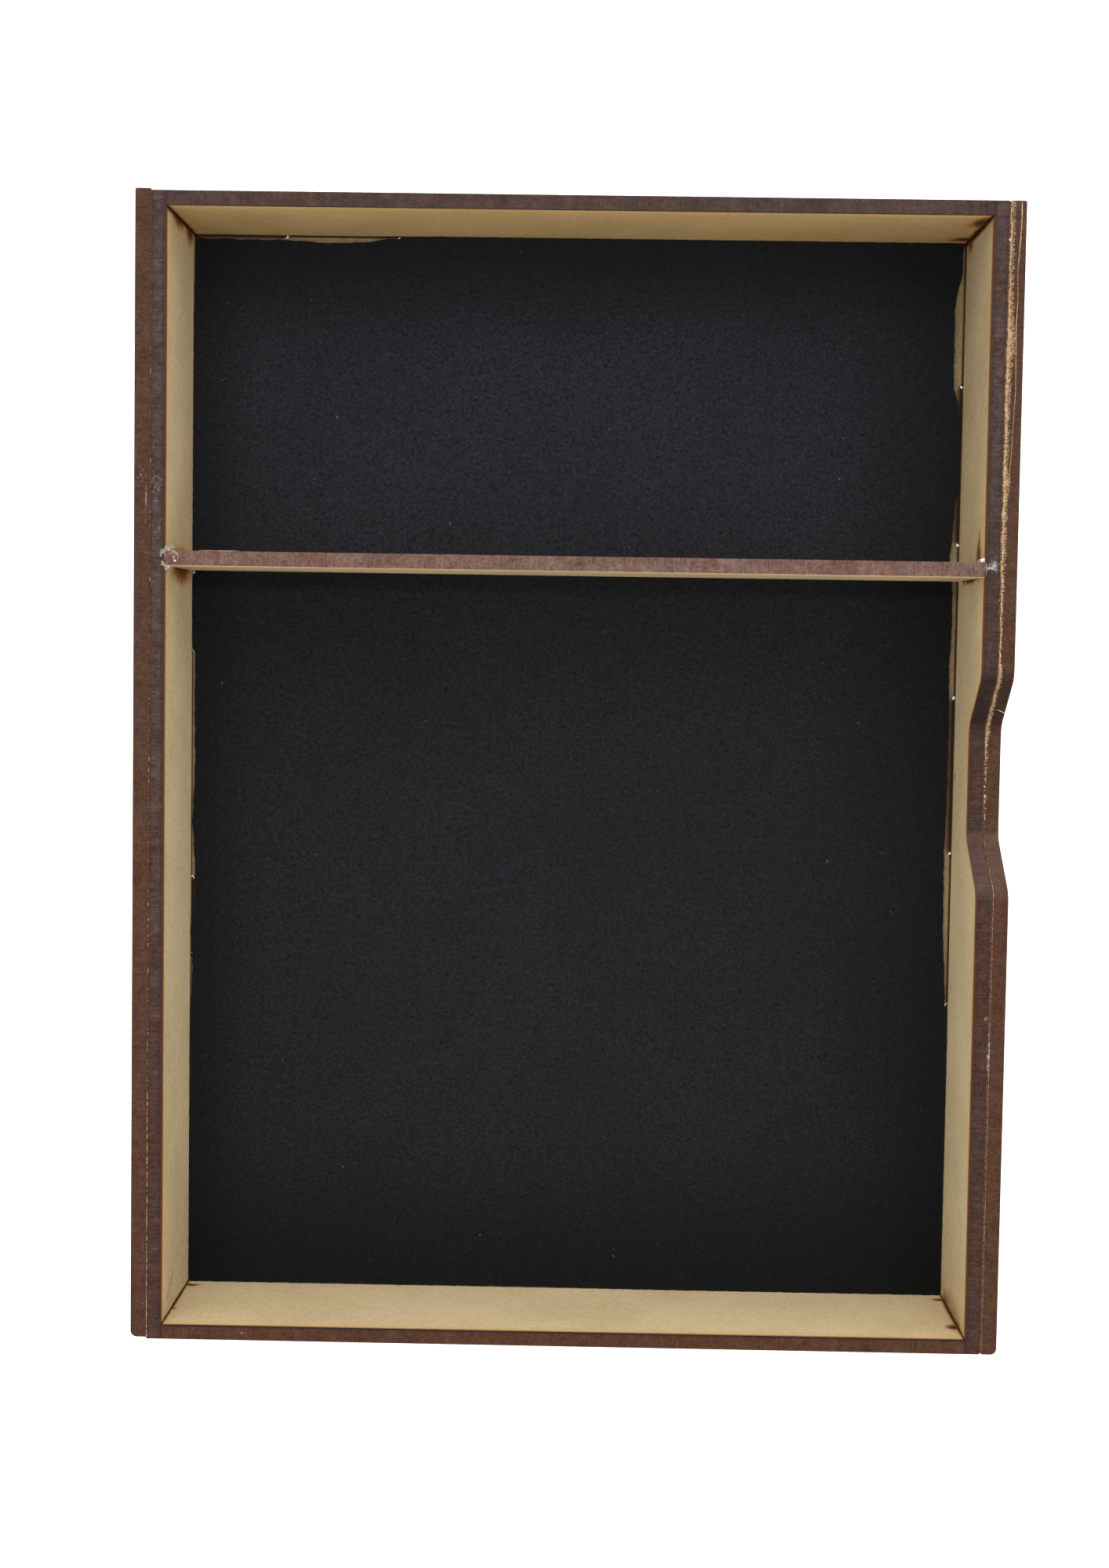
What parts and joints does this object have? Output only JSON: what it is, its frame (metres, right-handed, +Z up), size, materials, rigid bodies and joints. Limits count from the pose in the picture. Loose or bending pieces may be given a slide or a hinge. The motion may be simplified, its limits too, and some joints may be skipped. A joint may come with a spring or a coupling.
{
  "type": "dice storage box",
  "caption": "Open rectangular tray of finger-jointed laser-cut board with double side walls, a felt-lined floor, a cross divider and a finger notch in one side wall.",
  "frame": {"origin": "middle of the tray's flat underside", "axes": "+Z up, +Y along the tray towards the end with the smaller compartment, +X towards the wall with the finger notch"},
  "size_m": [0.1752, 0.2304, 0.0363],
  "materials": {
    "laser_cut_board": "raw fibreboard faces, edges charred brown by the laser",
    "facing_board": "raw fibreboard faces, edges charred a warmer brown, rubbed pale along the seam",
    "felt": "matt black needle felt",
    "dried_glue": "dried, hazy to clear"
  },
  "bodies": {
    "root": {"floor_board": "laser_cut_board", "left_side_board": "laser_cut_board", "right_side_board": "laser_cut_board", "rear_end_board": "laser_cut_board", "front_end_board": "laser_cut_board", "divider_board": "laser_cut_board", "left_facing_board": "facing_board", "right_facing_board": "facing_board", "left_glue_line": "dried_glue", "right_glue_line": "dried_glue", "rear_felt": "felt", "front_felt": "felt", "left_divider_glue": "dried_glue", "right_divider_glue": "dried_glue"}
  },
  "joints": []
}
